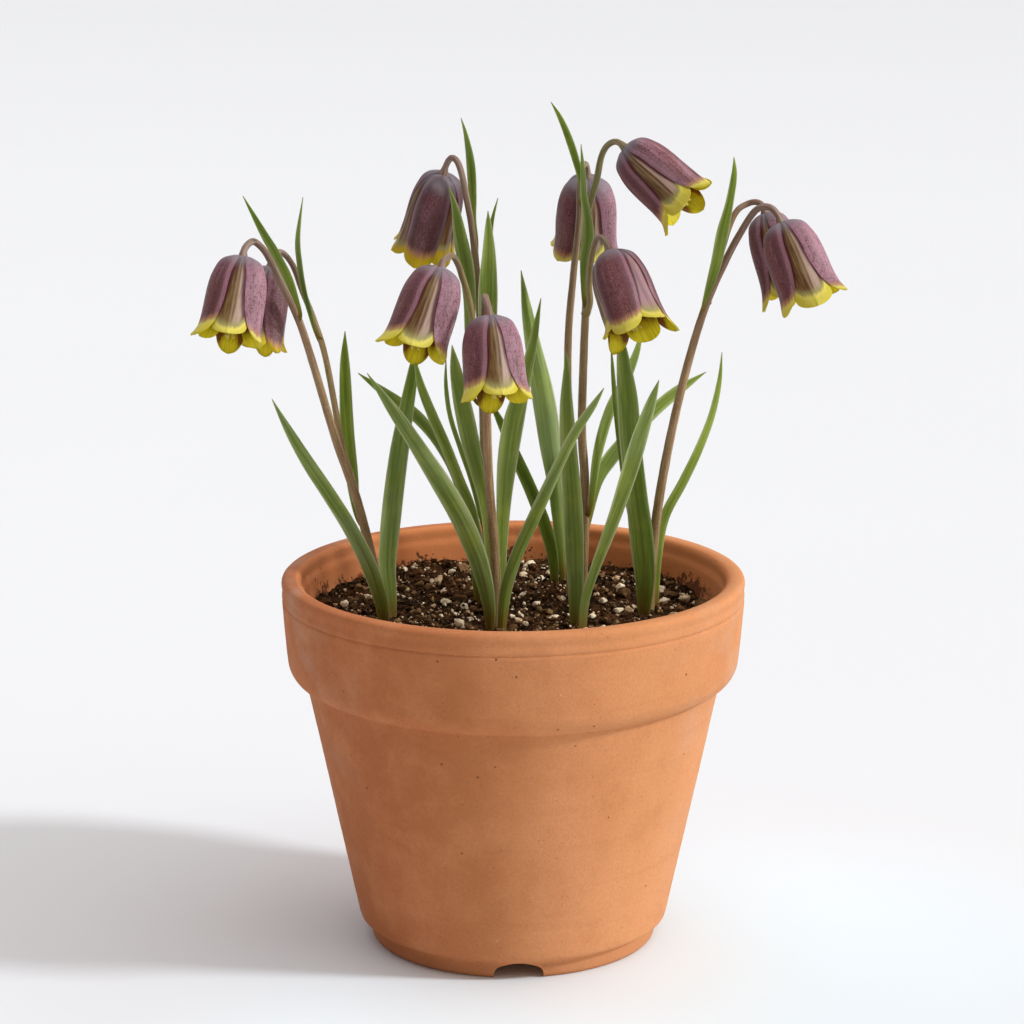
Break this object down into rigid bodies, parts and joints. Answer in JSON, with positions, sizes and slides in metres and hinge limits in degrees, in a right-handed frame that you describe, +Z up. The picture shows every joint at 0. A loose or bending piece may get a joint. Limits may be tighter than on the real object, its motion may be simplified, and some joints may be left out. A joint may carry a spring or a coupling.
{
  "type": "potted fritillary",
  "caption": "Clay pot of small spring bulbs in soil: slender stems with nodding plum bell flowers edged in yellow, and narrow grey-green leaves.",
  "frame": {"origin": "floor, under the middle of the whole plant's width and of the pot's depth; the pot's axis stands 1.95 mm to the left of it", "axes": "+Z up along the pot's axis, the front of the plant faces -Y, +X to the right seen from the front"},
  "size_m": [0.2024, 0.15, 0.2741],
  "materials": {
    "clay": "matte",
    "soil": "matte",
    "leaf": "satin",
    "stem": "satin",
    "petal": "satin"
  },
  "bodies": {
    "root": {"pot": "clay", "soil": "soil", "flower_a1": "petal", "flower_a2": "petal", "flower_b1": "petal", "flower_c1": "petal", "flower_c2": "petal", "flower_d1": "petal", "flower_g1": "petal", "flower_g2": "petal", "flower_h1": "petal", "flower_h2": "petal", "stem_a": "stem", "stalk_a2": "stem", "stem_b": "stem", "stem_c": "stem", "stalk_c2": "stem", "stem_d": "stem", "stem_g": "stem", "stalk_g2": "stem", "stem_h": "stem", "stalk_h2": "stem", "leaf_a1": "leaf", "leaf_a2": "leaf", "leaf_a3": "leaf", "leaf_a4": "leaf", "leaf_a5": "leaf", "leaf_b1": "leaf", "leaf_b2": "leaf", "leaf_b3": "leaf", "leaf_b4": "leaf", "leaf_b5": "leaf", "leaf_b6": "leaf", "leaf_b7": "leaf", "leaf_c1": "leaf", "leaf_c2": "leaf", "leaf_c3": "leaf", "leaf_c4": "leaf", "leaf_e1": "leaf", "leaf_e2": "leaf", "leaf_f1": "leaf", "leaf_f2": "leaf", "leaf_g1": "leaf", "leaf_g2": "leaf", "leaf_g3": "leaf", "leaf_d1": "leaf", "leaf_h1": "leaf", "leaf_h2": "leaf", "leaf_h3": "leaf", "leaf_h4": "leaf"}
  },
  "joints": []
}
